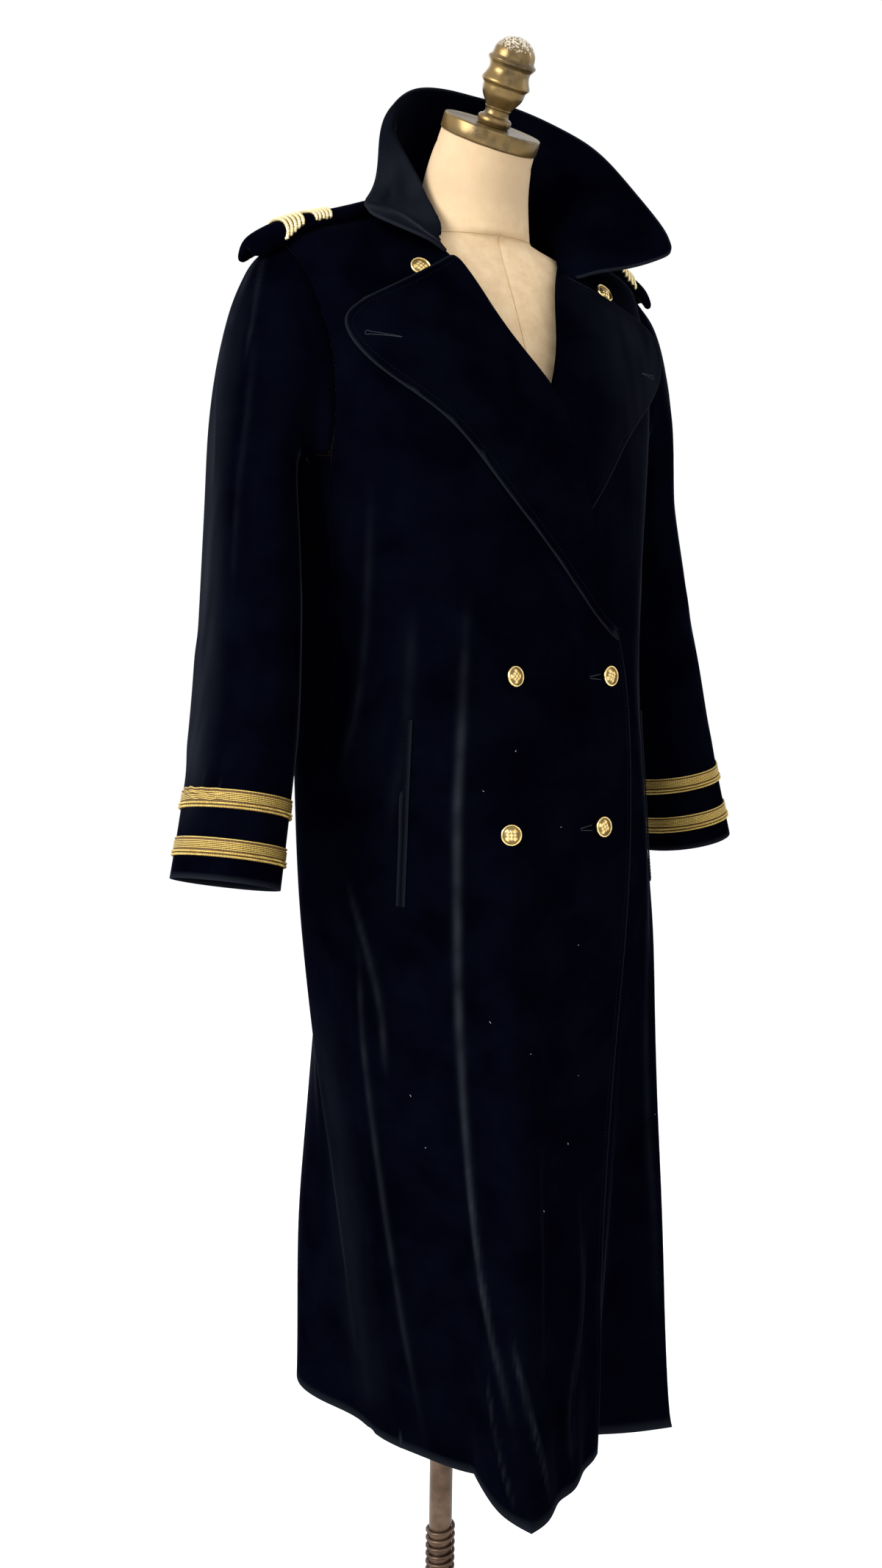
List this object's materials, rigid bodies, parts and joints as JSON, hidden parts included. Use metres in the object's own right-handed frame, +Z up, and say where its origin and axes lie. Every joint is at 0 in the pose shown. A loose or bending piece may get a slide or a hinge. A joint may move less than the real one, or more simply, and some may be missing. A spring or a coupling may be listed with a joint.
{
  "type": "double-breasted velvet trench coat on a limbless dress form",
  "caption": "Long double-breasted velvet coat with wide lapels, turned-up collar, shoulder boards and braided cuffs, worn by a limbless dress form on a pole and round base.",
  "frame": {"origin": "centre of the round base's underside, on the floor under the pole", "axes": "+Z up along the pole; the coat's front faces -Y and the wearer's left is +X"},
  "size_m": [0.744, 0.4655, 1.9135],
  "materials": {
    "velvet": "soft pile velvet, near black navy",
    "gold_braid": "ribbed metallic braid",
    "gilt": "gilt, lightly worn",
    "linen": "plain linen cover, warm cream",
    "bronze": "aged bronze, brushed",
    "bronzed_iron": "cast, bronze finish"
  },
  "bodies": {
    "root": {"front_right": "velvet", "front_left": "velvet", "back": "velvet", "lapel_right": "velvet", "lapel_left": "velvet", "collar": "velvet", "sleeve_right": "velvet", "cuff_braid_right_1": "gold_braid", "cuff_braid_right_2": "gold_braid", "sleeve_left": "velvet", "cuff_braid_left_1": "gold_braid", "cuff_braid_left_2": "gold_braid", "epaulette_right": "velvet", "epaulette_braid_right_1": "gold_braid", "epaulette_braid_right_2": "gold_braid", "epaulette_left": "velvet", "epaulette_braid_left_1": "gold_braid", "epaulette_braid_left_2": "gold_braid", "pocket_welt_right": "velvet", "pocket_welt_left": "velvet", "button_1": "gilt", "button_2": "gilt", "button_3": "gilt", "button_4": "gilt", "lapel_button_right": "gilt", "lapel_button_left": "gilt", "form_body": "linen", "neck_cap": "bronze", "finial": "bronze", "pole": "bronze", "pole_spring": "bronze", "base_hub": "bronze", "stand_base": "bronzed_iron"}
  },
  "joints": []
}
